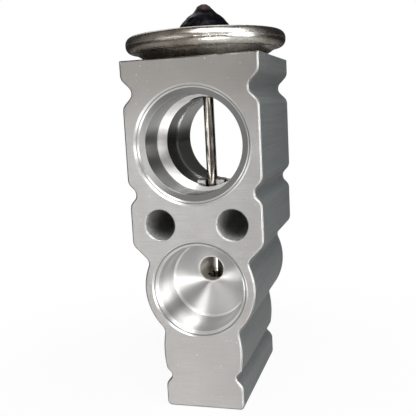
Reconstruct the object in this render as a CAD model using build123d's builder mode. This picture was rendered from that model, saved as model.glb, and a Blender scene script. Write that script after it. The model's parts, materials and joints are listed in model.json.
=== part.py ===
"""A block-type expansion valve for an air conditioning circuit.

The valve axis is the Z axis. The front, with the outlet to the evaporator and the
suction inlet, faces -Y. The base of the block is at z = 0. Lengths are millimetres.
"""

import os
from math import cos, radians, sin, sqrt

from build123d import *

# Extruded block: depth, and the heights that add up to its own height
block_depth = 32.4
axis_from_front = 13.9
outlet_z = 25.0
bolts_above_outlet = 13.2
suction_above_bolts = 15.8
top_above_suction = 17.0
edge_break = 0.3

# Block outline, seen from the front: widths of the straight sides
top_width = 28.0
upper_width = 27.7
middle_width = 27.3
foot_width = 16.4

# Block outline: V grooves in the sides
top_groove_drop = 6.4
top_groove_depth = 2.8
middle_groove_above_bolts = 6.2
middle_groove_depth = 2.25
foot_groove_z = 6.6
foot_groove_depth = 1.35

# Block outline: the round lobe about the outlet port, and the knee below it
lobe_radius = 11.56
lobe_top_angle = 28.6
lobe_bottom_angle = 48.0
knee_inset = 0.3
knee_radius = 19.0

# Block outline: corner roundings
shoulder_round = 2.0
groove_round = 1.6
waist_round = 1.8
foot_round = 0.9

# Suction passage, right through the block, with a port at each end
suction_mouth_radius = 12.05
suction_mouth_chamfer = 0.4
suction_step_radius = 11.45
suction_step_chamfer = 0.3
suction_ring_depth = 1.05
suction_port_radius = 10.0
suction_port_depth = 8.2
suction_land_radius = 9.45
suction_land_depth = 9.9
suction_passage_radius = 9.33
suction_shoulder_depth = 12.5
suction_relief_radius = 9.7

# Outlet port, at the front
outlet_mouth_radius = 10.0
outlet_mouth_chamfer = 0.3
outlet_step_radius = 9.42
outlet_step_chamfer = 0.3
outlet_port_radius = 8.5
outlet_lead_depth = 2.5
outlet_port_depth = 6.0
outlet_floor_radius = 7.95
outlet_floor_depth = 9.3
outlet_tip_depth = 9.8
outlet_hole_rise = 2.0
outlet_hole_radius = 2.6
outlet_hole_break = 0.5

# Liquid inlet port, at the rear
inlet_drop = 5.0
inlet_mouth_radius = 7.8
inlet_mouth_depth = 0.8
inlet_port_radius = 7.0
inlet_port_depth = 11.0
inlet_hole_drop = 1.4
inlet_hole_radius = 2.2

# Two through holes for the bolts of the pipe plates
bolt_spacing = 15.0
bolt_hole_radius = 3.0
bolt_chamfer = 0.27

# Bores on the valve axis
adjuster_bore_radius = 5.0
chamber_radius = 3.0
drill_tip_angle = 31.0
neck_bore_radius = 8.0
gasket_recess_radius = 9.4
gasket_recess_depth = 1.4
rod_passage_radius = 4.0

# Running and seating clearances
running_clearance = 0.05
seat_clearance = 0.02
thread_clearance = 0.04
ring_clearance = 0.03
neck_gap = 0.2

# Push rod and its seal at the floor of the suction passage
rod_radius = 1.1
rod_pin_radius = 0.75
rod_pin_length = 1.3
rod_taper_length = 0.9
rod_groove_rise = 2.6
rod_groove_width = 0.3
rod_groove_depth = 0.2
rod_edge = 0.25
seal_ring_wire = 0.55
retainer_radius = 3.25
retainer_slot_clearance = 0.1
retainer_front = 1.35
retainer_height = 2.0
retainer_rise = 1.25
retainer_edge = 0.2

# Orifice seat, ball and the carrier under the ball
seat_drop = 4.4
seat_radius = 2.0
seat_height = 1.9
orifice_radius = 1.4
seat_cone = 0.4
ball_radius = 2.0
carrier_cup_radius = 2.4
carrier_rim_drop = 1.2
carrier_flange_radius = 4.0
carrier_flange_drop = 10.0
carrier_flange_height = 1.2
carrier_headroom = 0.6
carrier_spigot_radius = 2.6
carrier_spigot_length = 1.3

# Bias spring
spring_radius = 3.4
spring_wire = 0.5
spring_pitch = 1.6

# Adjusting screw in the base
screw_recess = 1.5
screw_height = 5.4
screw_spigot_radius = 2.4
screw_spigot_length = 1.1
screw_edge = 0.4
socket_flats = 5.0
socket_depth = 2.3
screw_groove_z = 3.0
screw_ring_wire = 0.6

# Power head: two pressed steel shells welded at the rim, with a diaphragm between them
head_radius = 16.7
rim_width = 3.1
rim_thickness = 1.65
rim_drop = 1.7
rim_ledge = 1.9
foot_setback = 2.8
head_floor_thickness = 1.0
neck_radius_inside = 6.0
neck_length = 5.3
dome_thickness = 1.1
dome_lift = 0.7
dome_rise = 0.7
rim_round = 1.6
diaphragm_thickness = 0.2
diaphragm_wave = 0.35
diaphragm_edge = 0.15

# Stop plate under the diaphragm
wave_width = 3.2
stop_thickness = 1.5
hub_radius = 3.2
hub_length = 6.6
rod_socket_depth = 3.8

# Charging stub and the resin cap over it
stub_radius = 1.0
stub_proud = 0.25
cap_radius = 5.75
cap_flank_round = 9.0
cap_shoulder_radius = 3.4
cap_shoulder_height = 3.0
cap_waist_radius = 2.6
cap_waist_height = 3.5
cap_hollow_round = 5.0
cap_tip_radius = 1.3
cap_tip_height = 5.0
cap_height = 5.15
dome_margin = 0.75

# Faces and heights that several pieces share
front = -axis_from_front
rear = front + block_depth
bolt_z = outlet_z + bolts_above_outlet
suction_z = bolt_z + suction_above_bolts
block_height = suction_z + top_above_suction
passage_floor_z = suction_z - suction_passage_radius
suction_step_outer_radius = suction_mouth_radius - suction_mouth_chamfer
suction_step_depth = suction_mouth_chamfer + suction_step_chamfer
outlet_step_depth = outlet_mouth_chamfer + outlet_step_chamfer
outlet_hole_z = outlet_z + outlet_hole_rise
inlet_z = outlet_z - inlet_drop
head_z = block_height
rim_z = head_z + rim_drop
diaphragm_z = rim_z + rim_thickness
upper_rim_z = diaphragm_z + diaphragm_thickness
crest_z = upper_rim_z + rim_thickness
dome_z = crest_z + dome_rise
ledge_radius = head_radius - rim_ledge
foot_radius = ledge_radius - foot_setback
pan_radius = head_radius - rim_width
neck_bore_depth = neck_length + neck_gap
dome_radius = cap_radius + dome_margin
stop_radius = pan_radius - wave_width
front_plane = Plane.XZ.offset(-front)

# The ball rests in two cones of 45 degrees: the seat above it and the carrier's cup below it
seat_plane_z = outlet_hole_z - seat_drop
carrier_flange_z = seat_plane_z - carrier_flange_drop
carrier_flange_top_z = carrier_flange_z + carrier_flange_height
adjuster_bore_top_z = carrier_flange_top_z + carrier_headroom
cone_reach = ball_radius * sqrt(2)
ball_z = seat_plane_z + seat_cone + orifice_radius - cone_reach - seat_clearance * sqrt(2)
ball_top_z = ball_z + ball_radius
carrier_rim_z = ball_z - carrier_rim_drop
cup_apex_z = ball_z - cone_reach - seat_clearance

# Rod seal: a ring in a small pocket, held down by a retainer pressed in a wider one
seal_pocket_radius = rod_radius + ring_clearance + 2 * seal_ring_wire
retainer_top_z = passage_floor_z + retainer_rise
retainer_z = retainer_top_z - retainer_height
seal_pocket_z = retainer_z - 2 * seal_ring_wire - ring_clearance

# Adjusting screw and the faces that hold the spring
screw_top_z = screw_recess + screw_height
screw_radius = adjuster_bore_radius - running_clearance
screw_ring_radius = screw_radius - screw_ring_wire
screw_groove_floor = screw_ring_radius - screw_ring_wire - ring_clearance


def cone_height(radius):
    """Height of a drill point of the given radius."""
    return radius * sin(radians(drill_tip_angle)) / cos(radians(drill_tip_angle))


def side_groove(low_half, high_half, depth, groove_z):
    """Three corners of a V groove with flanks of 45 degrees, from bottom to top."""
    bottom_half = high_half - depth
    low = (low_half, groove_z - (low_half - bottom_half))
    bottom = (bottom_half, groove_z)
    high = (high_half, groove_z + depth)
    return low, bottom, high


# Corners of the right half of the outline
foot_half = foot_width / 2
foot_low, foot_bottom, knee_low = side_groove(foot_half, foot_half - knee_inset, foot_groove_depth, foot_groove_z)
waist = (
    lobe_radius * cos(radians(lobe_bottom_angle)),
    outlet_z - lobe_radius * sin(radians(lobe_bottom_angle)),
)
lobe_top = (
    lobe_radius * cos(radians(lobe_top_angle)),
    outlet_z + lobe_radius * sin(radians(lobe_top_angle)),
)
lobe_shoulder = (middle_width / 2, lobe_top[1] + middle_width / 2 - lobe_top[0])
middle_groove = side_groove(
    middle_width / 2, upper_width / 2, middle_groove_depth, bolt_z + middle_groove_above_bolts
)
top_groove = side_groove(upper_width / 2, top_width / 2, top_groove_depth, block_height - top_groove_drop)
shoulders = (foot_low, lobe_shoulder, middle_groove[0], middle_groove[2], top_groove[0], top_groove[2])
groove_bottoms = (lobe_top, middle_groove[1], top_groove[1])

# Valve block: an extrusion with grooved sides
with BuildPart() as valve_block:
    with BuildSketch(front_plane) as outline:
        with BuildLine():
            foot = Polyline((0, 0), (foot_half, 0), foot_low, foot_bottom, knee_low)
            knee = RadiusArc(foot @ 1, waist, -knee_radius)
            lobe = RadiusArc(knee @ 1, lobe_top, -lobe_radius)
            sides = Polyline(lobe @ 1, lobe_shoulder, *middle_groove, *top_groove, (top_width / 2, block_height))
            top = Polyline(sides @ 1, (0, block_height), (0, 0))
        make_face()
        for corner in shoulders:
            fillet(outline.vertices().sort_by_distance(corner)[0], radius=shoulder_round)
        for corner in groove_bottoms:
            fillet(outline.vertices().sort_by_distance(corner)[0], radius=groove_round)
        fillet(outline.vertices().sort_by_distance(waist)[0], radius=waist_round)
        for corner in (foot_bottom, knee_low, (foot_half, 0)):
            fillet(outline.vertices().sort_by_distance(corner)[0], radius=foot_round)
        mirror(about=Plane.YZ)
    extrude(amount=-block_depth)
    end_faces = valve_block.faces().filter_by(Axis.Y)
    chamfer(end_faces.edges(), length=edge_break)

    # Suction passage with a stepped port at each end and a wider stretch between them
    with BuildSketch(Plane.YZ):
        with BuildLine():
            Polyline(
                (front, suction_z),
                (front, suction_z + suction_mouth_radius),
                (front + suction_mouth_chamfer, suction_z + suction_step_outer_radius),
                (front + suction_mouth_chamfer, suction_z + suction_step_radius),
                (front + suction_step_depth, suction_z + suction_step_radius - suction_step_chamfer),
                (front + suction_ring_depth, suction_z + suction_port_radius),
                (front + suction_port_depth, suction_z + suction_port_radius),
                (front + suction_land_depth, suction_z + suction_land_radius),
                (front + suction_shoulder_depth, suction_z + suction_passage_radius),
                (front + suction_shoulder_depth, suction_z + suction_relief_radius),
                (rear - suction_shoulder_depth, suction_z + suction_relief_radius),
                (rear - suction_shoulder_depth, suction_z + suction_passage_radius),
                (rear - suction_land_depth, suction_z + suction_land_radius),
                (rear - suction_port_depth, suction_z + suction_port_radius),
                (rear - suction_ring_depth, suction_z + suction_port_radius),
                (rear - suction_step_depth, suction_z + suction_step_radius - suction_step_chamfer),
                (rear - suction_mouth_chamfer, suction_z + suction_step_radius),
                (rear - suction_mouth_chamfer, suction_z + suction_step_outer_radius),
                (rear, suction_z + suction_mouth_radius),
                (rear, suction_z),
                close=True,
            )
        make_face()
    revolve(axis=Axis((0, 0, suction_z), (0, 1, 0)), mode=Mode.SUBTRACT)

    # Outlet port at the front, with a lead-in, a tapering wall and a shallow conical floor
    with BuildSketch(Plane.YZ):
        with BuildLine():
            Polyline(
                (front, outlet_z),
                (front, outlet_z + outlet_mouth_radius),
                (front + outlet_mouth_chamfer, outlet_z + outlet_mouth_radius - outlet_mouth_chamfer),
                (front + outlet_mouth_chamfer, outlet_z + outlet_step_radius),
                (front + outlet_step_depth, outlet_z + outlet_step_radius - outlet_step_chamfer),
                (front + outlet_lead_depth, outlet_z + outlet_port_radius),
                (front + outlet_port_depth, outlet_z + outlet_port_radius),
                (front + outlet_floor_depth, outlet_z + outlet_floor_radius),
                (front + outlet_tip_depth, outlet_z),
                close=True,
            )
        make_face()
    revolve(axis=Axis((0, 0, outlet_z), (0, 1, 0)), mode=Mode.SUBTRACT)

    # Hole from the outlet port to the rod, drilled past the valve axis
    with BuildSketch(Plane.YZ):
        with BuildLine():
            Polyline(
                (front + outlet_floor_depth, outlet_hole_z),
                (front + outlet_floor_depth, outlet_hole_z + outlet_hole_radius + outlet_hole_break),
                (front + outlet_floor_depth + outlet_hole_break, outlet_hole_z + outlet_hole_radius),
                (outlet_hole_radius, outlet_hole_z + outlet_hole_radius),
                (outlet_hole_radius + cone_height(outlet_hole_radius), outlet_hole_z),
                close=True,
            )
        make_face()
    revolve(axis=Axis((0, 0, outlet_hole_z), (0, 1, 0)), mode=Mode.SUBTRACT)

    # Inlet port at the rear, with a drilled floor, and its hole to the ball chamber
    with BuildSketch(Plane.YZ):
        with BuildLine():
            Polyline(
                (rear, inlet_z),
                (rear, inlet_z + inlet_mouth_radius),
                (rear - inlet_mouth_depth, inlet_z + inlet_port_radius),
                (rear - inlet_port_depth, inlet_z + inlet_port_radius),
                (rear - inlet_port_depth, inlet_z),
                close=True,
            )
        make_face()
    revolve(axis=Axis((0, 0, inlet_z), (0, 1, 0)), mode=Mode.SUBTRACT)
    with BuildSketch(Plane.XZ):
        with Locations((0, inlet_z - inlet_hole_drop)):
            Circle(inlet_hole_radius)
    extrude(amount=-(rear - inlet_port_depth), mode=Mode.SUBTRACT)

    # Bores on the valve axis, from the base up to the orifice seat
    with BuildSketch(Plane.XZ):
        with BuildLine():
            Polyline(
                (0, 0),
                (adjuster_bore_radius + screw_edge, 0),
                (adjuster_bore_radius, screw_edge),
                (adjuster_bore_radius, adjuster_bore_top_z),
                (chamber_radius, adjuster_bore_top_z + cone_height(adjuster_bore_radius - chamber_radius)),
                (chamber_radius, seat_plane_z),
                (seat_radius, seat_plane_z),
                (seat_radius, outlet_hole_z),
                (0, outlet_hole_z),
                close=True,
            )
        make_face()
    revolve(axis=Axis.Z, mode=Mode.SUBTRACT)

    # Bores on the valve axis, from the rod guide up to the thread for the power head
    with BuildSketch(Plane.XZ):
        with BuildLine():
            Polyline(
                (0, outlet_hole_z),
                (rod_radius + running_clearance, outlet_hole_z),
                (rod_radius + running_clearance, seal_pocket_z),
                (seal_pocket_radius, seal_pocket_z),
                (seal_pocket_radius, retainer_z),
                (retainer_radius, retainer_z),
                (retainer_radius, suction_z),
                (rod_passage_radius, suction_z),
                (rod_passage_radius, block_height - neck_bore_depth),
                (neck_bore_radius, block_height - neck_bore_depth),
                (neck_bore_radius, block_height - gasket_recess_depth),
                (gasket_recess_radius, block_height - gasket_recess_depth),
                (gasket_recess_radius, block_height),
                (0, block_height),
                close=True,
            )
        make_face()
    revolve(axis=Axis.Z, mode=Mode.SUBTRACT)

    # Bolt holes, broken at both ends
    with Locations(front_plane):
        with Locations((-bolt_spacing / 2, bolt_z), (bolt_spacing / 2, bolt_z)):
            Hole(bolt_hole_radius, depth=block_depth)
    bolt_rims = valve_block.edges().filter_by(GeomType.CIRCLE)
    bolt_rims = bolt_rims.filter_by(lambda rim: abs(rim.radius - bolt_hole_radius) < seat_clearance)
    bolt_rims = bolt_rims.filter_by(lambda rim: abs(abs(rim.arc_center.X) - bolt_spacing / 2) < seat_clearance)
    chamfer(bolt_rims, length=bolt_chamfer)

# Orifice seat: a small sleeve pressed in over the ball chamber
with BuildPart() as orifice_seat:
    with BuildSketch(Plane.XZ):
        with BuildLine():
            Polyline(
                (orifice_radius + seat_cone, seat_plane_z),
                (seat_radius, seat_plane_z),
                (seat_radius, seat_plane_z + seat_height - seat_cone / 2),
                (seat_radius - seat_cone / 2, seat_plane_z + seat_height),
                (orifice_radius, seat_plane_z + seat_height),
                (orifice_radius, seat_plane_z + seat_cone),
                close=True,
            )
        make_face()
    revolve(axis=Axis.Z)

# Valve ball
with BuildPart(Plane.XY.offset(ball_z)) as valve_ball:
    Sphere(ball_radius)

# Ball carrier: a conical cup for the ball, a flange on the spring and a spigot inside it
with BuildPart() as ball_carrier:
    with BuildSketch(Plane.XZ):
        with BuildLine():
            Polyline(
                (0, carrier_flange_z - carrier_spigot_length),
                (carrier_spigot_radius, carrier_flange_z - carrier_spigot_length),
                (carrier_spigot_radius, carrier_flange_z),
                (carrier_flange_radius, carrier_flange_z),
                (carrier_flange_radius, carrier_flange_top_z),
                (carrier_cup_radius, carrier_flange_top_z),
                (carrier_cup_radius, carrier_rim_z),
                (carrier_rim_z - cup_apex_z, carrier_rim_z),
                (0, cup_apex_z),
                close=True,
            )
        make_face()
    revolve(axis=Axis.Z)

# Bias spring: an open coil with its ends ground flat between the screw and the carrier
with BuildPart() as bias_spring:
    with BuildLine() as coil:
        Helix(spring_pitch, carrier_flange_z - screw_top_z, spring_radius, center=(0, 0, screw_top_z))
    with BuildSketch(Plane(origin=coil.line @ 0, z_dir=coil.line % 0)):
        Circle(spring_wire)
    sweep(path=coil.line, is_frenet=True)
    split(bisect_by=Plane.XY.offset(screw_top_z), keep=Keep.TOP)
    split(bisect_by=Plane.XY.offset(carrier_flange_z), keep=Keep.BOTTOM)

# Adjusting screw: a plug with a ring groove, a hex socket and a spigot inside the spring
with BuildPart() as adjusting_screw:
    with BuildSketch(Plane.XZ):
        with BuildLine():
            Polyline(
                (0, screw_recess),
                (screw_radius - screw_edge, screw_recess),
                (screw_radius, screw_recess + screw_edge),
                (screw_radius, screw_recess + screw_groove_z),
                (screw_groove_floor, screw_recess + screw_groove_z),
                (screw_groove_floor, screw_recess + screw_groove_z + 2 * (screw_ring_wire + ring_clearance)),
                (screw_radius, screw_recess + screw_groove_z + 2 * (screw_ring_wire + ring_clearance)),
                (screw_radius, screw_top_z),
                (screw_spigot_radius, screw_top_z),
                (screw_spigot_radius, screw_top_z + screw_spigot_length),
                (0, screw_top_z + screw_spigot_length),
                close=True,
            )
        make_face()
    revolve(axis=Axis.Z)
    with BuildSketch(Plane.XY.offset(screw_recess)):
        RegularPolygon(socket_flats / 2, 6, major_radius=False)
    extrude(amount=socket_depth, mode=Mode.SUBTRACT)

# Sealing ring of the adjusting screw
screw_ring_z = screw_recess + screw_groove_z + screw_ring_wire + ring_clearance
with BuildPart(Plane.XY.offset(screw_ring_z)) as adjuster_ring:
    Torus(screw_ring_radius, screw_ring_wire)

# Push rod, from a thin tip on the ball up into the hub of the stop plate
rod_tip_z = ball_top_z + seat_clearance
rod_groove_z = rod_tip_z + rod_groove_rise
rod_top_z = diaphragm_z - stop_thickness - hub_length + rod_socket_depth - seat_clearance
with BuildPart() as push_rod:
    with BuildSketch(Plane.XZ):
        with BuildLine():
            Polyline(
                (0, rod_tip_z),
                (rod_pin_radius, rod_tip_z),
                (rod_pin_radius, rod_tip_z + rod_pin_length),
                (rod_radius, rod_tip_z + rod_pin_length + rod_taper_length),
                (rod_radius, rod_groove_z),
                (rod_radius - rod_groove_depth, rod_groove_z),
                (rod_radius - rod_groove_depth, rod_groove_z + rod_groove_width),
                (rod_radius, rod_groove_z + rod_groove_width),
                (rod_radius, rod_top_z - rod_edge),
                (rod_radius - rod_edge, rod_top_z),
                (0, rod_top_z),
                close=True,
            )
        make_face()
    revolve(axis=Axis.Z)

# Sealing ring round the rod, below the suction passage
with BuildPart(Plane.XY.offset(seal_pocket_z + seal_ring_wire + ring_clearance / 2)) as rod_ring:
    Torus(seal_pocket_radius - seal_ring_wire - ring_clearance / 2, seal_ring_wire)

# Retainer that holds the rod's ring down: a fork, open to the front, pressed in the passage floor
slot_half = rod_radius + retainer_slot_clearance
with BuildPart() as ring_retainer:
    with BuildSketch(Plane.XY.offset(retainer_z)):
        Circle(retainer_radius)
        with Locations((0, -retainer_front)):
            half_turn = (Align.CENTER, Align.MAX)
            Rectangle(2 * retainer_radius, retainer_radius, align=half_turn, mode=Mode.SUBTRACT)
        Circle(slot_half, mode=Mode.SUBTRACT)
        Rectangle(2 * slot_half, retainer_radius, align=half_turn, mode=Mode.SUBTRACT)
    extrude(amount=retainer_height)
    chamfer(ring_retainer.faces().sort_by(Axis.Z)[-1].edges(), length=retainer_edge)

# Lower shell of the power head, with the threaded neck that screws in the block
with BuildPart() as head_lower_shell:
    with BuildSketch(Plane.XZ) as lower_section:
        with BuildLine():
            Polyline(
                (neck_radius_inside, head_z - neck_length),
                (neck_bore_radius - thread_clearance, head_z - neck_length),
                (neck_bore_radius - thread_clearance, head_z),
                (foot_radius, head_z),
                (ledge_radius, rim_z),
                (head_radius, rim_z),
                (head_radius, diaphragm_z),
                (pan_radius, diaphragm_z),
                (pan_radius - diaphragm_z + head_z + head_floor_thickness, head_z + head_floor_thickness),
                (neck_radius_inside, head_z + head_floor_thickness),
                close=True,
            )
        make_face()
        fillet(lower_section.vertices().sort_by_distance((head_radius, rim_z))[0], radius=rim_round)
    revolve(axis=Axis.Z)

# Diaphragm: thin sheet, clamped between the shells, with one wave round the stop plate
with BuildPart() as diaphragm:
    with BuildSketch(Plane.XZ):
        wave_middle = (stop_radius + pan_radius) / 2
        with BuildLine():
            inner = Line((0, diaphragm_z), (stop_radius, diaphragm_z))
            wave = ThreePointArc(inner @ 1, (wave_middle, diaphragm_z + diaphragm_wave), (pan_radius, diaphragm_z))
            edge = Polyline(
                wave @ 1,
                (head_radius - diaphragm_edge, diaphragm_z),
                (head_radius - diaphragm_edge, upper_rim_z),
                (pan_radius, upper_rim_z),
            )
            back = ThreePointArc(edge @ 1, (wave_middle, upper_rim_z + diaphragm_wave), (stop_radius, upper_rim_z))
            Polyline(back @ 1, (0, upper_rim_z), (0, diaphragm_z))
        make_face()
    revolve(axis=Axis.Z)

# Stop plate under the diaphragm, with a hub that takes the rod
with BuildPart() as diaphragm_stop:
    with BuildSketch(Plane.XZ):
        with BuildLine():
            Polyline(
                (0, diaphragm_z - seat_clearance),
                (stop_radius, diaphragm_z - seat_clearance),
                (stop_radius, diaphragm_z - stop_thickness),
                (hub_radius, diaphragm_z - stop_thickness),
                (hub_radius, diaphragm_z - stop_thickness - hub_length),
                (rod_radius + seat_clearance, diaphragm_z - stop_thickness - hub_length),
                (rod_radius + seat_clearance, rod_top_z + seat_clearance),
                (0, rod_top_z + seat_clearance),
                close=True,
            )
        make_face()
    revolve(axis=Axis.Z)

# Gasket between the power head and the block
with BuildPart(Plane.XY.offset(head_z - gasket_recess_depth / 2)) as head_gasket:
    Torus((gasket_recess_radius + neck_bore_radius) / 2, gasket_recess_depth / 2 - ring_clearance)

# Upper shell of the power head, a very low dome with a hole for the charging stub
with BuildPart() as head_upper_shell:
    with BuildSketch(Plane.XZ) as upper_section:
        with BuildLine():
            Polyline(
                (pan_radius, upper_rim_z),
                (head_radius, upper_rim_z),
                (head_radius, crest_z),
                (head_radius - rim_thickness, crest_z),
                (dome_radius, dome_z),
                (stub_radius, dome_z),
                (stub_radius, dome_z - dome_thickness),
                (dome_radius, dome_z - dome_thickness),
                (pan_radius - dome_lift, upper_rim_z + dome_lift),
                close=True,
            )
        make_face()
        fillet(upper_section.vertices().sort_by_distance((head_radius, crest_z))[0], radius=rim_round)
    revolve(axis=Axis.Z)

# Charging stub: a copper tube end, closed and rounded, that stands out of the resin
with BuildPart() as charge_stub:
    with BuildSketch(Plane.XY.offset(dome_z - dome_thickness)):
        Circle(stub_radius)
    extrude(amount=cap_height + stub_proud + dome_thickness)
    fillet(charge_stub.faces().sort_by(Axis.Z)[-1].edges(), radius=stub_radius / 2)

# Resin cap, poured over the charging stub
with BuildPart() as resin_cap:
    with BuildSketch(Plane.XZ):
        cap_shoulder = (cap_shoulder_radius, dome_z + cap_shoulder_height)
        cap_waist = (cap_waist_radius, dome_z + cap_waist_height)
        with BuildLine():
            cap_base = Line((stub_radius, dome_z), (cap_radius, dome_z))
            RadiusArc(cap_base @ 1, cap_shoulder, -cap_flank_round)
            Line(cap_shoulder, cap_waist)
            cap_hollow = RadiusArc(cap_waist, (cap_tip_radius, dome_z + cap_tip_height), cap_hollow_round)
            Polyline(cap_hollow @ 1, (stub_radius, dome_z + cap_height), cap_base @ 0)
        make_face()
    revolve(axis=Axis.Z)

pieces = {
    "valve_block": valve_block,
    "orifice_seat": orifice_seat,
    "valve_ball": valve_ball,
    "ball_carrier": ball_carrier,
    "bias_spring": bias_spring,
    "adjusting_screw": adjusting_screw,
    "adjuster_ring": adjuster_ring,
    "push_rod": push_rod,
    "rod_ring": rod_ring,
    "ring_retainer": ring_retainer,
    "head_lower_shell": head_lower_shell,
    "diaphragm": diaphragm,
    "diaphragm_stop": diaphragm_stop,
    "head_gasket": head_gasket,
    "head_upper_shell": head_upper_shell,
    "charge_stub": charge_stub,
    "resin_cap": resin_cap,
}

os.makedirs("parts", exist_ok=True)
for name, piece in pieces.items():
    piece.part.label = name
    export_step(piece.part, f"parts/{name}.step")
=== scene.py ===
"""Looks of a block-type expansion valve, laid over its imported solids.

The front of the valve faces -Y and its base is at z = 0. Pieces, lamps and the camera are placed in
metres. Finishes work in millimetres, and tell the faces of the block apart by their place on it.
"""

import json
import math
from types import SimpleNamespace

import bmesh
import bpy
from mathutils import Matrix, Vector, noise


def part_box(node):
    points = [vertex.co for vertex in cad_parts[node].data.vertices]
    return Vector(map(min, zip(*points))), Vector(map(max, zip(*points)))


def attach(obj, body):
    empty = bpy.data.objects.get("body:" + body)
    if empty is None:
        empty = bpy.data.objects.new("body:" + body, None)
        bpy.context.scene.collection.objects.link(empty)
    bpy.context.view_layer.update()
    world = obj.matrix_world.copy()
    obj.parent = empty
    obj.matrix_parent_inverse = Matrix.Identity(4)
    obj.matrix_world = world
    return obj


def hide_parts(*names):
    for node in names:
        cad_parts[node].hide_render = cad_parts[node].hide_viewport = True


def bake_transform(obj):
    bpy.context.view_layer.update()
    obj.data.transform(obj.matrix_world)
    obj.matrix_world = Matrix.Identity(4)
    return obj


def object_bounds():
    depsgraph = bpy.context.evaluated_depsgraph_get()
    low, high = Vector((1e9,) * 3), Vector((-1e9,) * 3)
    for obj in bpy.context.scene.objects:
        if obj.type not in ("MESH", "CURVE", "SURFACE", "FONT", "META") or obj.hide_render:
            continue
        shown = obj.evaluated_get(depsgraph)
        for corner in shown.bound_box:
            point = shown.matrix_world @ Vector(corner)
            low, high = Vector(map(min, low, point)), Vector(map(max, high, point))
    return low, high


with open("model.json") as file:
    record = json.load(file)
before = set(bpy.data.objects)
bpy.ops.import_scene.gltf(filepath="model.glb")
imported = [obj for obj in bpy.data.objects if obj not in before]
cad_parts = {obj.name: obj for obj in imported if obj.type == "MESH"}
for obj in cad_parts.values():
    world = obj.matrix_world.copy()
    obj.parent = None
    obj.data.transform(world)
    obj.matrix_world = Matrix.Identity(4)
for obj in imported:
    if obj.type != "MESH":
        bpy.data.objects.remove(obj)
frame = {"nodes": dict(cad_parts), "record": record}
cad_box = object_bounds()

MM = 0.001
WHITE = (1.0, 1.0, 1.0, 1.0)
ALONG_X = (1.0, 0.0, 0.0)
ALONG_Y = (0.0, 1.0, 0.0)
NODES = frame["nodes"]
MOUNTS = {mount["name"]: mount for mount in frame["record"]["mounts"]}

# Camera, at the photograph's viewing angle, with its lens and sensor in millimetres
CAMERA_PLACE = Vector((0.03897, -0.13766, 0.06086))
CAMERA_FORWARD = Vector((-0.2778, 0.9493, -0.1473))
CAMERA_RIGHT = Vector((0.9606, 0.2732, -0.0516))
CAMERA_LENS = 57.6
CAMERA_SENSOR = 36.0
CAMERA_NEAR = 0.005

# Soft lamps: azimuth from -Y towards +X and elevation in degrees, distance, width, height and watts
LAMPS = {
    "key_right": (51, 47, 0.124, 0.05, 0.05, 0.080),
    "top": (20, 66, 0.50, 0.12, 0.12, 1.1),
    "front_top": (12, 45, 0.50, 0.18, 0.12, 1.0),
    "low_right": (68, 4, 0.45, 0.20, 0.14, 0.95),
    "front_low": (27, -20, 0.113, 0.05, 0.02, 0.050),
    "left_front": (-30, 4, 0.60, 0.40, 0.26, 0.68),
    "back_left": (205, 40, 0.60, 0.30, 0.30, 0.5),
}
AIM = Vector((0, 0, 0.045))

# Grey room that lights the valve: its tone at the front and at the back, and where one runs into the other
ROOM_TONES = (0.42, 0.05)
ROOM_TURN = (-0.35, 0.45)

# Floor: a disc just under the base. The camera sees it glow white, less at a first distance from the
# valve's axis than at a second one. Both are in millimetres, and the two shares of glow follow them.
FLOOR_RADIUS = 3.0
FLOOR_CORNERS = 96
FLOOR_GAP = 0.0001
FLOOR_ROUGHNESS = 0.9
FLOOR_GLOW = (20.0, 100.0, 0.94, 1.0)

# Lumps of the poured cap: grain of its mesh, size of a lump and how far it stands out. Finer lumps lie
# on them. None are at the cap's foot, and they fade towards its tip.
CAP_GRAIN = 0.14 * MM
CAP_LUMP = 1.7 * MM
CAP_RELIEF = 0.32 * MM
CAP_FINE_SIZE = 0.4
CAP_FINE_SHARE = 0.35
CAP_FOOT = 0.1
CAP_FOOT_SLOPE = 6.0
CAP_TIP_FADE = 0.5

# Ports of the block: radius of the mask at the mouth, and how deep the coarse turning starts. A port
# that isn't through ends a little past the valve's axis. The other depths are the same in all of them.
PORTS = {
    "suction_inlet": (12.1, 8.2),
    "liquid_outlet": (10.1, 0.8),
    "liquid_inlet": (7.9, 0.9),
}
THROUGH_PORT = "suction_inlet"
PAST_AXIS = 2.0
COARSE_END = 12.5
PORT_WALL_END = 8.1
MOUTH_DEPTH = 1.1
MIDDLE_BORE_END = (3.66, 3.72)

# Holes of the block: reach of the mask of a bolt hole, the well on the valve's axis that the outlet's
# small side hole opens into, and that hole's centre, wall and rim, which carries a painted highlight
BOLT_REACH = 3.35
WELL_RADIUS = 6.4807
WELL_FLOOR = 20.0
WELL_ROOF = 34.0
SIDE_HOLE = Vector((0, 0, 27.0))
SIDE_HOLE_WALL = 2.65
SIDE_HOLE_FROM = 9.9
RIM_WIDTH = 0.25
RIM_FROM = 9.0

# Where a mask of a face starts and is full, as distances from its plane, and how squarely a surface has
# to look along Y to count as facing it
ON_FACE = (0.03, 0.01)
ON_BROKEN_EDGE = (0.34, 0.30)
SQUARE_ON = 0.95

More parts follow.
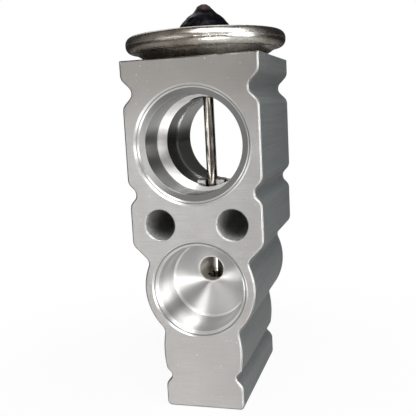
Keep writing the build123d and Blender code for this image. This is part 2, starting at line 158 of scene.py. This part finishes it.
# Textures: stretch along X, Y and Z, then scale, detail and roughness of the noise
EVEN = (1.0, 1.0, 1.0)
STROKES = ((0.16, 0.0, 4.5), 1.0, 6.0, 0.7)
TURNED_RINGS = ((6.0, 6.0, 0.0), 1.0, 3.0, 0.5)
SKIN = ((1.0, 0.35, 1.0), 1.5, 6.0, 0.62)
DIE_LINES = ((3.0, 0.05, 3.0), 1.0, 4.0, 0.6)
CLOUDS = (EVEN, 0.13, 2.0, 0.5)
SPECKS = (EVEN, 3.4, 2.0, 0.7)
PITS = (EVEN, 1.9, 1.0, 0.4)
GRAIN = (EVEN, 7.0, 2.0, 0.8)
FILM = (EVEN, 0.16, 2.0, 0.5)
STREAKS = ((1.0, 1.0, 4.0), 0.8, 4.0, 0.6)
SCRATCHES = ((0.5, 1.0, 7.0), 2.2, 3.0, 0.7)
FINE_RINGS = ((9.0, 9.0, 9.0), 1.0, 2.0, 0.5)
METAL_CLOUDS = (EVEN, 0.9, 3.0, 0.5)
BLOOM = (EVEN, 1.6, 4.0, 0.5)
MOULD_GRAIN = (EVEN, 14.0, 2.0, 0.5)
RESIN_LUMPS = (EVEN, 0.8, 3.0, 0.55)
RESIN_DUST = (EVEN, 9.0, 3.0, 0.7)
PAPER_GRAIN = (EVEN, 0.8, 3.0, 0.5)

# Ranges of a texture over which what it drives changes
BROAD = (0.30, 0.70)
MIDDLING = (0.32, 0.68)
NARROW = (0.35, 0.65)
FILM_RANGE = (0.36, 0.64)

# Tones: the dark and the light colour that a texture moves between
FACE_TONES = ((0.63, 0.615, 0.605), (0.74, 0.725, 0.71))
SIDE_TONES = ((0.19, 0.205, 0.207), (0.26, 0.272, 0.27))
BROKEN_EDGE_TONES = ((0.18, 0.18, 0.175), (0.45, 0.45, 0.44))
PORT_TONES = ((0.48, 0.48, 0.467), (0.60, 0.595, 0.58))
COARSE_TONES = ((0.84, 0.83, 0.815), (0.93, 0.925, 0.91))
# Painted shade deep in the middle of the bores
MIDDLE_BORE_SHADE_TONES = ((0.15, 0.15, 0.145), (0.24, 0.24, 0.235))
# Painted shade inside the bolt holes
BOLT_HOLE_SHADE_TONES = ((0.36, 0.36, 0.355), (0.50, 0.50, 0.49))
HEAD_TONES = ((0.20, 0.168, 0.136), (0.31, 0.276, 0.234))
SEAL_TONES = ((0.015, 0.015, 0.016), (0.04, 0.04, 0.042))
PAPER_TONES = ((0.50, 0.50, 0.495), (0.54, 0.54, 0.535))

# Coats over a tone: where a value starts and fills the coat, how much of it shows, and its colour
FACE_CLOUD = (0.35, 0.65, 0.3, (0.53, 0.505, 0.49))
# Painted shade on the end faces: under the head, and towards the foot
FACE_SHADE_UNDER_HEAD = (52.0, 69.0, 0.75, (0.36, 0.335, 0.31))
FACE_SHADE_AT_FOOT = (46.0, 20.0, 0.4, (0.52, 0.50, 0.485))
FACE_GRAIN = (0.50, 0.75, 0.4, (0.46, 0.45, 0.44))
FACE_PIT = (0.755, 0.79, 1.0, (0.88, 0.88, 0.87))
SIDE_LINE = (0.4, 0.7, 0.5, (0.15, 0.163, 0.165))
SIDE_SPECK = (0.60, 0.72, 0.35, (0.62, 0.63, 0.62))
HEAD_STREAK = (0.45, 0.75, 0.35, (0.50, 0.48, 0.44))
# Painted highlight on the head's bead: full within 3 mm of its centre, gone beyond 9 mm
HEAD_PAINTED_HIGHLIGHT = (9.0, 3.0, 1.0, (0.62, 0.60, 0.56))
RESIN_BASE = (0.001, 0.001, 0.002)
RESIN_DUSTED = (0.60, 0.75, 0.3, (0.02, 0.02, 0.028))
RESIN_THIN = (81.3, 82.0, 1.0, (0.03, 0.019, 0.017))
PAPER_FAR = (120.0, 300.0, 1.0, (0.05, 0.05, 0.05))

# Plain colours of small places
TOP_COLOUR = (0.60, 0.59, 0.58)
PORT_WALL_COLOUR = (0.53, 0.525, 0.515)
PORT_FLOOR_COLOUR = (0.86, 0.85, 0.835)
MOUTH_COLOUR = (0.80, 0.795, 0.78)
MOUTH_STEP_COLOUR = (0.33, 0.327, 0.32)
WELL_COLOUR = (0.58, 0.54, 0.475)
# Painted highlight on the rim of the outlet's small hole
RIM_HIGHLIGHT_COLOUR = (0.95, 0.94, 0.92)

# Worn edges: radius of the rounding, how much of the wear shows, and its colour
BLOCK_WEAR = (0.16 * MM, 0.3, (0.80, 0.80, 0.79))
HEAD_WEAR = (0.12 * MM, 0.5, (0.7, 0.68, 0.62))
ROUND_EDGE = 0.12 * MM
ROUND_WEAR = 0.4
ROUND_WEAR_LIFT = 1.25
WEAR_COSINES = (0.995, 0.86)
EDGE_SAMPLES = 6

# Roughness of the block's places and of the other materials, and how strongly the resin shines
ROUGHNESS = {
    "side": (0.46, 0.60),
    "face": (0.34, 0.44),
    "broken_edge": 0.34,
    "bore": 0.24,
    "coarse": 0.56,
    "port_floor": 0.52,
    "mouth": 0.50,
    "bolt_hole": 0.6,
    "well": 0.5,
}
HEAD_ROUGHNESS = (0.23, 0.32)
SEAL_ROUGHNESS = (0.42, 0.6)
RESIN_ROUGHNESS = (0.30, 0.45)
RESIN_SHEEN = 0.06
ROUND_ROUGHNESS_SPREAD = (0.85, 1.15)

# How metallic the block's machined places, its dull skin and its well are
BRIGHT = 1.0
DULL = 0.55
SHADED = 0.25

# Relief: its depth, and the shares of the textures in it
BLOCK_RELIEF = 0.03 * MM
BLOCK_STROKE_SHARE = 0.4
BLOCK_RING_SHARE = 0.12
HEAD_RELIEF = 0.02 * MM
HEAD_FILM_SHARE = 0.6
HEAD_SCRATCH_SHARE = 0.08
ROUND_RELIEF = 0.004 * MM
SEAL_RELIEF = 0.006 * MM
RESIN_RELIEF = 0.2 * MM

# Centre of the painted highlight on the head's bead
HEAD_HIGHLIGHT_SPOT = (9.5, -14.0, 73.5)

# Turned and ground metals: dark and light tone, and roughness
ROUND_METALS = {
    "turned_steel": ((0.40, 0.39, 0.37), (0.60, 0.59, 0.57), 0.26),
    "ground_steel": ((0.40, 0.37, 0.33), (0.54, 0.505, 0.455), 0.14),
    "turned_brass": ((0.62, 0.45, 0.20), (0.78, 0.60, 0.32), 0.26),
    "copper": ((0.03, 0.018, 0.015), (0.07, 0.042, 0.036), 0.4),
    "drawn_wire": ((0.36, 0.36, 0.35), (0.52, 0.52, 0.50), 0.24),
    "thin_sheet": ((0.50, 0.49, 0.46), (0.62, 0.61, 0.58), 0.30),
}

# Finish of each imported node
FINISH_OF = {
    "valve_block": "block_aluminium",
    "orifice_seat": "turned_steel",
    "valve_ball": "ground_steel",
    "ball_carrier": "turned_brass",
    "bias_spring": "drawn_wire",
    "adjusting_screw": "turned_brass",
    "adjuster_ring": "seal_rubber",
    "push_rod": "ground_steel",
    "rod_ring": "seal_rubber",
    "ring_retainer": "turned_steel",
    "head_lower_shell": "head_steel",
    "diaphragm": "thin_sheet",
    "diaphragm_stop": "turned_brass",
    "head_gasket": "seal_rubber",
    "head_upper_shell": "head_steel",
    "charge_stub": "copper",
    "resin_cap": "cap_resin",
}


class Finish:
    """A material in the making. Each method adds nodes and returns an output, if not said otherwise."""

    def __init__(self, name):
        self.material = bpy.data.materials.new(name)
        self.material.use_nodes = True
        self.tree = self.material.node_tree
        self.shader = self.tree.nodes["Principled BSDF"]

    def feed(self, socket, value):
        """Links an output to a socket, or sets the socket's own value. It returns nothing."""
        if isinstance(value, bpy.types.NodeSocket):
            self.tree.links.new(value, socket)
        else:
            socket.default_value = value

    def node(self, kind, inputs, **settings):
        """The node itself, with its settings and its inputs, by name or by number."""
        made = self.tree.nodes.new(kind)
        for setting, value in settings.items():
            setattr(made, setting, value)
        for socket, value in inputs.items():
            self.feed(made.inputs[socket], value)
        return made

    def shade(self, inputs):
        """Feeds the shader and returns the material."""
        for socket, value in inputs.items():
            self.feed(self.shader.inputs[socket], value)
        return self.material

    def math(self, operation, *values):
        """Arithmetic on numbers."""
        inputs = dict(enumerate(values))
        return self.node("ShaderNodeMath", inputs, operation=operation).outputs[0]

    def times(self, first, *others):
        """A product. Of masks, it is where all of them hold."""
        for other in others:
            first = self.math("MULTIPLY", first, other)
        return first

    def largest(self, first, *others):
        """The largest number. Of masks, it is where any of them holds."""
        for other in others:
            first = self.math("MAXIMUM", first, other)
        return first

    def below(self, value, limit):
        """A mask for where a value is under a limit."""
        return self.math("LESS_THAN", value, limit)

    def above(self, value, limit):
        """A mask for where a value is over a limit."""
        return self.math("GREATER_THAN", value, limit)

    def outside(self, mask):
        """Where a mask doesn't hold."""
        return self.math("SUBTRACT", 1.0, mask)

    def length(self, across, up):
        """The length of two steps at a right angle."""
        square = self.math("ADD", self.times(across, across), self.times(up, up))
        return self.math("SQRT", square)

    def vector(self, operation, *values):
        """Arithmetic on vectors."""
        inputs = dict(enumerate(values))
        return self.node("ShaderNodeVectorMath", inputs, operation=operation).outputs[0]

    def between(self, value, low, high, start=0.0, end=1.0):
        """A smooth step from start to end as a value goes from low to high."""
        inputs = {"Value": value, "From Min": low, "From Max": high, "To Min": start, "To Max": end}
        made = self.node("ShaderNodeMapRange", inputs, interpolation_type="SMOOTHSTEP")
        return made.outputs["Result"]

    def near(self, value, plane, gaps):
        """A mask for where a value comes close under a plane: from the first gap, full at the second."""
        return self.between(value, plane - gaps[0], plane - gaps[1])

    def mix(self, share, first, second):
        """A blend of two colours."""
        inputs = {0: share, 6: paint(first), 7: paint(second)}
        made = self.node("ShaderNodeMix", inputs, data_type="RGBA")
        return made.outputs[2]

    def mix_number(self, share, first, second):
        """A blend of two numbers."""
        return self.node("ShaderNodeMix", {0: share, 2: first, 3: second}).outputs[0]

    def mix_vector(self, share, first, second):
        """A blend of two vectors."""
        made = self.node("ShaderNodeMix", {0: share, 4: first, 5: second}, data_type="VECTOR")
        return made.outputs[1]

    def tones(self, value, reach, pair):
        """A colour that goes from the dark to the light tone as a value crosses a range."""
        return self.mix(self.between(value, *reach), *pair)

    def coat(self, colour, value, coat):
        """A colour with a coat over it where a value lies in the coat's range."""
        low, high, share, over = coat
        return self.mix(self.between(value, low, high, 0.0, share), colour, over)

    def place(self):
        """The point on the object, in millimetres."""
        inputs = {0: self.node("ShaderNodeTexCoord", {}).outputs["Object"], "Scale": 1 / MM}
        return self.node("ShaderNodeVectorMath", inputs, operation="SCALE").outputs[0]

    def split(self, vector):
        """The three numbers of a vector."""
        return self.node("ShaderNodeSeparateXYZ", {0: vector}).outputs[:]

    def join(self, x, y, z):
        """A vector of three numbers."""
        return self.node("ShaderNodeCombineXYZ", {0: x, 1: y, 2: z}).outputs[0]

    def texture(self, vector, stretch, scale, detail, rough):
        """Stretched noise, about 0.5 on average."""
        drawn_out = self.vector("MULTIPLY", vector, stretch)
        inputs = {"Vector": drawn_out, "Scale": scale, "Detail": detail, "Roughness": rough}
        return self.node("ShaderNodeTexNoise", inputs).outputs[0]

    def worn_edges(self, radius):
        """How near a point is to an edge, from 0 to 1, and the normal rounded over that edge."""
        rounded = self.node("ShaderNodeBevel", {"Radius": radius}, samples=EDGE_SAMPLES).outputs[0]
        normal = self.node("ShaderNodeNewGeometry", {}).outputs["True Normal"]
        turned = self.node("ShaderNodeVectorMath", {0: rounded, 1: normal}, operation="DOT_PRODUCT")
        return self.between(turned.outputs["Value"], *WEAR_COSINES), rounded

    def bump(self, height, depth, normal=None):
        """The normal over a relief from a height of 0 to 1, depth metres deep."""
        inputs = {"Height": height, "Distance": depth, "Strength": 1.0}
        if normal is not None:
            inputs["Normal"] = normal
        return self.node("ShaderNodeBump", inputs).outputs[0]


def paint(colour):
    """A colour with its fourth number, or the output that carries one."""
    if isinstance(colour, bpy.types.NodeSocket):
        return colour
    return (*colour, 1.0)


def find_faces(finish):
    """The place on the block, how deep it lies under an end face, and the masks of the outer faces."""
    place = finish.place()
    x, y, z = finish.split(place)
    low, high = (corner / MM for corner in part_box("valve_block"))
    middle = (low.y + high.y) / 2
    half = (high.y - low.y) / 2
    depth = finish.math("ABSOLUTE", finish.math("SUBTRACT", y, middle))
    normal = finish.node("ShaderNodeNewGeometry", {}).outputs["Normal"]
    at = SimpleNamespace(place=place, x=x, y=y, z=z, depth=depth, normal=normal)
    at.sunk = finish.math("SUBTRACT", half, depth)
    at.front = finish.below(y, middle)
    at.end_face = finish.near(depth, half, ON_FACE)
    at.broken_edge = finish.near(depth, half, ON_BROKEN_EDGE)
    at.top_face = finish.near(z, high.z, ON_FACE)
    at.facing = finish.above(finish.math("ABSOLUTE", finish.split(normal)[1]), SQUARE_ON)
    return at


def find_ports(finish, at):
    """Adds the masks of the ports, the ring in a port, and the way that cutters ran: round its axis."""
    at.inside = 0.0
    at.ring = at.z
    start = 0.0
    stroke = ALONG_Y
    for name, (mouth, coarse_from) in PORTS.items():
        centre = Vector(MOUNTS[name]["pos_m"]) / MM
        across = finish.math("SUBTRACT", at.x, centre.x)
        up = finish.math("SUBTRACT", at.z, centre.z)
        reach = finish.length(across, up)
        near = finish.below(reach, mouth)
        if name != THROUGH_PORT:
            outward = finish.times(at.y, math.copysign(1.0, centre.y))
            near = finish.times(near, finish.above(outward, -PAST_AXIS))
        stroke = finish.mix_vector(near, stroke, finish.join(up, 0, finish.times(across, -1)))
        at.ring = finish.mix_number(near, at.ring, reach)
        start = finish.mix_number(near, start, coarse_from)
        at.inside = finish.largest(at.inside, near)

    at.turned = finish.times(at.inside, finish.outside(at.end_face))
    coarse_depth = finish.times(finish.above(at.sunk, start), finish.below(at.sunk, COARSE_END))
    at.coarse = finish.times(coarse_depth, at.front)
    at.mouth = finish.below(at.sunk, MOUTH_DEPTH)
    at.mouth_step = finish.times(at.turned, at.mouth, at.facing)
    at.port_floor = finish.times(at.coarse, at.facing)
    coarse_wall = finish.math("SUBTRACT", at.coarse, at.port_floor)
    at.port_wall = finish.times(coarse_wall, finish.below(at.sunk, PORT_WALL_END))
    # The middle of the bores, where shade is painted
    at.middle_bore = finish.times(at.turned, finish.between(at.depth, *MIDDLE_BORE_END, 1.0, 0.0))
    level = finish.largest(at.end_face, at.mouth_step)
    stroke = finish.mix_vector(level, stroke, ALONG_X)
    at.spread = finish.vector("NORMALIZE", finish.vector("CROSS_PRODUCT", at.normal, stroke))


def find_holes(finish, at):
    """Adds the masks of the bolt holes, the well on the axis, and the small hole's rim in the outlet,
    which carries a painted highlight.
    """
    bolt = Vector(MOUNTS["bolt_holes"]["pos_m"]) / MM
    spacing = MOUNTS["bolt_holes"]["dims"]["spacing_x_mm"]
    across = finish.math("SUBTRACT", finish.math("ABSOLUTE", at.x), bolt.x + spacing / 2)
    from_bolt = finish.length(across, finish.math("SUBTRACT", at.z, bolt.z))
    at.bolt_hole = finish.times(finish.below(from_bolt, BOLT_REACH), finish.outside(at.end_face))

    from_hole = finish.length(
        finish.math("SUBTRACT", at.x, SIDE_HOLE.x), finish.math("SUBTRACT", at.z, SIDE_HOLE.z)
    )
    side_hole = finish.times(at.turned, finish.below(from_hole, SIDE_HOLE_WALL))
    rim = finish.times(finish.below(from_hole, SIDE_HOLE_WALL + RIM_WIDTH), at.turned)
    rim = finish.times(rim, finish.above(at.sunk, RIM_FROM))
    at.rim = finish.largest(finish.math("SUBTRACT", rim, side_hole), 0.0)

    height = finish.times(finish.below(at.z, WELL_ROOF), finish.above(at.z, WELL_FLOOR))
    well = finish.times(finish.below(finish.length(at.x, at.y), WELL_RADIUS), height)
    well = finish.times(well, finish.outside(at.turned))
    at.well = finish.largest(well, finish.times(side_hole, finish.above(at.sunk, SIDE_HOLE_FROM)))


def block_textures(finish, at):
    """Strokes on the end faces, rings in the ports, and the skin and drawn lines of the sides."""
    return SimpleNamespace(
        strokes=finish.texture(at.place, *STROKES),
        rings=finish.texture(finish.join(at.ring, at.y, 0), *TURNED_RINGS),
        skin=finish.texture(at.place, *SKIN),
        die_lines=finish.texture(at.place, *DIE_LINES),
        clouds=finish.texture(at.place, *CLOUDS),
        specks=finish.texture(at.place, *SPECKS),
        pits=finish.texture(at.place, *PITS),
        grain=finish.texture(at.place, *GRAIN),
    )


def face_colour(finish, at, texture):
    """Brushed end faces with painted shade under the head and towards the foot, and bright pits."""
    colour = finish.tones(texture.strokes, BROAD, FACE_TONES)
    colour = finish.coat(colour, texture.clouds, FACE_CLOUD)
    # Painted shade under the head, then towards the foot
    colour = finish.coat(colour, at.z, FACE_SHADE_UNDER_HEAD)
    colour = finish.coat(colour, at.z, FACE_SHADE_AT_FOOT)
    colour = finish.coat(colour, texture.grain, FACE_GRAIN)
    return finish.coat(colour, texture.pits, FACE_PIT)


def side_colour(finish, at, texture):
    """Dull extruded sides with drawn lines and bright specks, a milled top and broken edges."""
    colour = finish.tones(texture.skin, MIDDLING, SIDE_TONES)
    colour = finish.coat(colour, texture.die_lines, SIDE_LINE)
    colour = finish.coat(colour, texture.specks, SIDE_SPECK)
    colour = finish.mix(at.top_face, colour, TOP_COLOUR)
    return finish.mix(at.broken_edge, colour, finish.mix(texture.strokes, *BROKEN_EDGE_TONES))


def port_colour(finish, at, texture):
    """Finely turned ports, coarser and paler where the seats of the front ports are."""
    colour = finish.tones(texture.rings, BROAD, PORT_TONES)
    colour = finish.mix(at.coarse, colour, finish.tones(texture.rings, BROAD, COARSE_TONES))
    colour = finish.mix(at.port_wall, colour, PORT_WALL_COLOUR)
    colour = finish.mix(at.port_floor, colour, PORT_FLOOR_COLOUR)
    colour = finish.mix(at.mouth, colour, MOUTH_COLOUR)
    return finish.mix(at.mouth_step, colour, MOUTH_STEP_COLOUR)


def block_colour(finish, at, texture):
    """The block's colour: its sides and end faces, then its ports and holes, with painted shade deep in
    the bores and in the bolt holes and a painted highlight on the small hole's rim.
    """
    colour = finish.mix(at.end_face, side_colour(finish, at, texture), face_colour(finish, at, texture))
    colour = finish.mix(at.turned, colour, port_colour(finish, at, texture))
    # Painted shade deep in the middle of the bores
    colour = finish.mix(at.middle_bore, colour, finish.tones(texture.skin, BROAD, MIDDLE_BORE_SHADE_TONES))
    colour = finish.mix(at.well, colour, WELL_COLOUR)
    # Painted highlight on the rim of the small hole
    colour = finish.mix(at.rim, colour, RIM_HIGHLIGHT_COLOUR)
    # Painted shade inside the bolt holes
    return finish.mix(at.bolt_hole, colour, finish.tones(texture.skin, BROAD, BOLT_HOLE_SHADE_TONES))


def block_roughness(finish, at, texture):
    """The block's roughness, place by place."""
    face = finish.between(texture.specks, *BROAD, *ROUGHNESS["face"])
    bore = finish.mix_number(at.coarse, ROUGHNESS["bore"], ROUGHNESS["coarse"])
    bore = finish.mix_number(at.port_floor, bore, ROUGHNESS["port_floor"])
    bore = finish.mix_number(at.mouth, bore, ROUGHNESS["mouth"])
    roughness = finish.between(texture.skin, *BROAD, *ROUGHNESS["side"])
    roughness = finish.mix_number(at.broken_edge, roughness, ROUGHNESS["broken_edge"])
    roughness = finish.mix_number(at.end_face, roughness, face)
    roughness = finish.mix_number(at.turned, roughness, bore)
    roughness = finish.mix_number(at.bolt_hole, roughness, ROUGHNESS["bolt_hole"])
    return finish.mix_number(at.well, roughness, ROUGHNESS["well"])


def block_metallic(finish, at):
    """Fully metallic where the block is machined, less so on its skin, in the well and on the rim's
    painted highlight.
    """
    machined = finish.largest(at.end_face, at.inside, at.broken_edge)
    metallic = finish.mix_number(machined, DULL, BRIGHT)
    return finish.mix_number(finish.largest(at.well, at.rim), metallic, SHADED)


def block_normal(finish, at, texture, rounded):
    """The block's relief over its rounded edges."""
    side = finish.mix_number(0.5, texture.skin, texture.die_lines)
    relief = finish.mix_number(at.end_face, side, finish.times(texture.strokes, BLOCK_STROKE_SHARE))
    relief = finish.mix_number(at.turned, relief, finish.times(texture.rings, BLOCK_RING_SHARE))
    return finish.bump(relief, BLOCK_RELIEF, rounded)


def block_finish():
    """Aluminium: brushed end faces, dull extruded sides and turned ports."""
    finish = Finish("block_aluminium")
    at = find_faces(finish)
    find_ports(finish, at)
    find_holes(finish, at)
    texture = block_textures(finish, at)
    radius, wear_share, worn_colour = BLOCK_WEAR
    wear, rounded = finish.worn_edges(radius)
    colour = block_colour(finish, at, texture)
    return finish.shade({
        "Base Color": finish.mix(finish.times(wear, wear_share), colour, worn_colour),
        "Metallic": block_metallic(finish, at),
        "Roughness": block_roughness(finish, at, texture),
        "Normal": block_normal(finish, at, texture, rounded),
        "Anisotropic": 1.0,
        "Tangent": at.spread,
    })


def head_finish():
    """Pressed steel with a bronze passivated film, and a painted highlight in one spot on its bead."""
    finish = Finish("head_steel")
    radius, wear_share, worn_colour = HEAD_WEAR
    place = finish.place()
    film = finish.texture(place, *FILM)
    streaks = finish.texture(place, *STREAKS)
    scratches = finish.texture(place, *SCRATCHES)
    wear, rounded = finish.worn_edges(radius)
    highlight_reach = finish.node("ShaderNodeVectorMath", {0: place, 1: HEAD_HIGHLIGHT_SPOT}, operation="DISTANCE")
    colour = finish.tones(film, FILM_RANGE, HEAD_TONES)
    # Painted highlight round one spot on the bead
    colour = finish.coat(colour, highlight_reach.outputs["Value"], HEAD_PAINTED_HIGHLIGHT)
    colour = finish.coat(colour, streaks, HEAD_STREAK)
    colour = finish.mix(finish.times(wear, wear_share), colour, worn_colour)
    height = finish.math(
        "ADD", finish.times(film, HEAD_FILM_SHARE), finish.times(scratches, HEAD_SCRATCH_SHARE)
    )
    return finish.shade({
        "Base Color": colour,
        "Metallic": BRIGHT,
        "Roughness": finish.between(streaks, *BROAD, *HEAD_ROUGHNESS),
        "Normal": finish.bump(height, HEAD_RELIEF, rounded),
    })


def round_metal(name, dark, light, roughness):
    """Metal turned or ground about the valve's axis, with fine rings."""
    finish = Finish(name)
    place = finish.place()
    x, y, z = finish.split(place)
    rings = finish.texture(finish.join(finish.length(x, y), 0, z), *FINE_RINGS)
    clouds = finish.texture(place, *METAL_CLOUDS)
    wear, rounded = finish.worn_edges(ROUND_EDGE)
    mottle = finish.times(finish.math("ADD", rings, clouds), 0.5)
    worn_colour = tuple(min(1.0, ROUND_WEAR_LIFT * part) for part in light)
    colour = finish.tones(mottle, NARROW, (dark, light))
    smooth, rough = (spread * roughness for spread in ROUND_ROUGHNESS_SPREAD)
    return finish.shade({
        "Base Color": finish.mix(finish.times(wear, ROUND_WEAR), colour, worn_colour),
        "Metallic": BRIGHT,
        "Roughness": finish.between(clouds, *BROAD, smooth, rough),
        "Normal": finish.bump(rings, ROUND_RELIEF, rounded),
    })


def seal_finish():
    """Black sealing rubber with a faint mould bloom."""
    finish = Finish("seal_rubber")
    place = finish.place()
    bloom = finish.texture(place, *BLOOM)
    return finish.shade({
        "Base Color": finish.mix(bloom, *SEAL_TONES),
        "Roughness": finish.between(bloom, *BROAD, *SEAL_ROUGHNESS),
        "Normal": finish.bump(finish.texture(place, *MOULD_GRAIN), SEAL_RELIEF),
    })


def resin_finish():
    """Black poured resin with lumps and dust in its skin, thin and reddish at the tip."""
    finish = Finish("cap_resin")
    place = finish.place()
    lumps = finish.texture(place, *RESIN_LUMPS)
    uneven_height = finish.math("ADD", finish.split(place)[2], lumps)
    colour = finish.coat(RESIN_BASE, finish.texture(place, *RESIN_DUST), RESIN_DUSTED)
    colour = finish.coat(colour, uneven_height, RESIN_THIN)
    return finish.shade({
        "Base Color": colour,
        "Roughness": finish.between(lumps, *BROAD, *RESIN_ROUGHNESS),
        "Specular IOR Level": RESIN_SHEEN,
        "Normal": finish.bump(lumps, RESIN_RELIEF),
    })


def dress():
    """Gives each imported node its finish."""
    finishes = {name: round_metal(name, *look) for name, look in ROUND_METALS.items()}
    for material in (block_finish(), head_finish(), seal_finish(), resin_finish()):
        finishes[material.name] = material
    for name, finish in FINISH_OF.items():
        slots = NODES[name].data.materials
        for index in range(len(slots)):
            slots[index] = finishes[finish]


def pour_cap():
    """The resin cap as it was poured, with lumps on its flanks, in place of the even one."""
    low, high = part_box("resin_cap")
    piece = bpy.data.objects.new("poured_cap", NODES["resin_cap"].data.copy())
    bpy.context.scene.collection.objects.link(piece)
    remesh = piece.modifiers.new("even_grain", "REMESH")
    remesh.mode = "VOXEL"
    remesh.voxel_size = CAP_GRAIN
    remesh.use_smooth_shade = True
    graph = bpy.context.evaluated_depsgraph_get()
    piece.data = bpy.data.meshes.new_from_object(piece.evaluated_get(graph))
    piece.modifiers.clear()
    for vertex in piece.data.vertices:
        rise = (vertex.co.z - low.z) / (high.z - low.z)
        grip = min(1.0, max(0.0, CAP_FOOT_SLOPE * (rise - CAP_FOOT))) * (1.0 - CAP_TIP_FADE * rise)
        outward = Vector((vertex.co.x, vertex.co.y, 0)).normalized()
        lump = noise.noise(vertex.co / CAP_LUMP)
        lump += CAP_FINE_SHARE * noise.noise(vertex.co / (CAP_FINE_SIZE * CAP_LUMP))
        vertex.co += outward * lump * grip * CAP_RELIEF
    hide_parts("resin_cap")
    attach(piece, "block")


def press_spring():
    """The coil spring as two halves that meet at mid-height."""
    low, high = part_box("bias_spring")
    middle = (low + high) / 2
    halves = {"spring_upper": ("stem", high, 1), "spring_lower": ("adjuster_slider", low, -1)}
    for name, (body, tip, side) in halves.items():
        shape = bmesh.new()
        shape.from_mesh(NODES["bias_spring"].data)
        everything = [*shape.verts, *shape.edges, *shape.faces]
        cut = bmesh.ops.bisect_plane(
            shape, geom=everything, plane_co=(0, 0, middle.z), plane_no=(0, 0, side), clear_inner=True
        )
        rim = [part for part in cut["geom_cut"] if isinstance(part, bmesh.types.BMEdge)]
        bmesh.ops.holes_fill(shape, edges=rim)
        mesh = bpy.data.meshes.new(name)
        shape.to_mesh(mesh)
        shape.free()
        mesh.materials.append(NODES["bias_spring"].data.materials[0])
        piece = bpy.data.objects.new(name, mesh)
        bpy.context.scene.collection.objects.link(piece)
        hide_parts("bias_spring")
        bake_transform(piece)


def add_lamps():
    """Soft lamps round the object, hidden from the camera."""
    for name, (azimuth, elevation, reach, width, height, watts) in LAMPS.items():
        lamp = bpy.data.lights.new(name, "AREA")
        lamp.shape = "RECTANGLE"
        lamp.size = width
        lamp.size_y = height
        lamp.energy = watts
        thing = bpy.data.objects.new(name, lamp)
        bpy.context.scene.collection.objects.link(thing)
        across = math.radians(azimuth)
        up = math.radians(elevation)
        back = Vector((math.sin(across) * math.cos(up), -math.cos(across) * math.cos(up), math.sin(up)))
        thing.location = AIM + back * reach
        thing.rotation_mode = "QUATERNION"
        thing.rotation_quaternion = (-back).to_track_quat("-Z", "Y")
        thing.visible_camera = False


def add_world():
    """White for the camera, and a soft grey room for light and reflections, darker at the back."""
    world = bpy.data.worlds.new("studio")
    bpy.context.scene.world = world
    world.use_nodes = True
    nodes = world.node_tree.nodes
    links = world.node_tree.links
    room = nodes["Background"]
    room.inputs["Strength"].default_value = 1.0
    direction = nodes.new("ShaderNodeTexCoord").outputs["Generated"]
    parts = nodes.new("ShaderNodeSeparateXYZ")
    links.new(direction, parts.inputs[0])
    depth = nodes.new("ShaderNodeMapRange")
    depth.inputs["From Min"].default_value, depth.inputs["From Max"].default_value = ROOM_TURN
    depth.inputs["To Min"].default_value, depth.inputs["To Max"].default_value = ROOM_TONES
    links.new(parts.outputs[1], depth.inputs["Value"])
    tone = nodes.new("ShaderNodeCombineColor")
    for socket in tone.inputs:
        links.new(depth.outputs[0], socket)
    links.new(tone.outputs[0], room.inputs["Color"])

    white = nodes.new("ShaderNodeBackground")
    white.inputs["Color"].default_value = WHITE
    path = nodes.new("ShaderNodeLightPath")
    clear = nodes.new("ShaderNodeMath")
    clear.operation = "ADD"
    links.new(path.outputs["Is Camera Ray"], clear.inputs[0])
    links.new(path.outputs["Is Transmission Ray"], clear.inputs[1])
    both = nodes.new("ShaderNodeMixShader")
    links.new(clear.outputs[0], both.inputs[0])
    links.new(room.outputs[0], both.inputs[1])
    links.new(white.outputs[0], both.inputs[2])
    links.new(both.outputs[0], nodes["World Output"].inputs["Surface"])


def floor_finish():
    """Pale paper that fades into the white background, as the camera sees it."""
    finish = Finish("floor_paper")
    place = finish.place()
    x, y, _ = finish.split(place)
    reach = finish.length(x, y)
    colour = finish.mix(finish.texture(place, *PAPER_GRAIN), *PAPER_TONES)
    finish.shade({"Roughness": FLOOR_ROUGHNESS, "Base Color": finish.coat(colour, reach, PAPER_FAR)})
    seen = finish.node("ShaderNodeLightPath", {}).outputs["Is Camera Ray"]
    share = finish.times(seen, finish.between(reach, *FLOOR_GLOW))
    white = finish.node("ShaderNodeEmission", {"Color": WHITE, "Strength": 1.0})
    both = finish.node("ShaderNodeMixShader", {0: share, 1: finish.shader.outputs[0], 2: white.outputs[0]})
    finish.feed(finish.tree.nodes["Material Output"].inputs["Surface"], both.outputs[0])
    return finish.material


def add_floor():
    """A pale floor that keeps a soft shadow."""
    mesh = bpy.data.meshes.new("floor")
    shape = bmesh.new()
    bmesh.ops.create_circle(shape, cap_ends=True, radius=FLOOR_RADIUS, segments=FLOOR_CORNERS)
    shape.to_mesh(mesh)
    shape.free()
    floor = bpy.data.objects.new("floor", mesh)
    bpy.context.scene.collection.objects.link(floor)
    floor.location.z = cad_box[0].z - FLOOR_GAP
    mesh.materials.append(floor_finish())


def add_camera():
    """The camera, at the photograph's place and angle."""
    data = bpy.data.cameras.new("camera")
    data.lens = CAMERA_LENS
    data.sensor_width = CAMERA_SENSOR
    data.clip_start = CAMERA_NEAR
    camera = bpy.data.objects.new("camera", data)
    bpy.context.scene.collection.objects.link(camera)
    back = -CAMERA_FORWARD.normalized()
    right = (CAMERA_RIGHT - back * CAMERA_RIGHT.dot(back)).normalized()
    turn = Matrix((right, back.cross(right), back)).transposed()
    camera.matrix_world = Matrix.Translation(CAMERA_PLACE) @ turn.to_4x4()
    bpy.context.scene.camera = camera


dress()
pour_cap()
press_spring()
add_lamps()
add_world()
add_floor()
add_camera()

bpy.context.scene.view_settings.view_transform = "Standard"
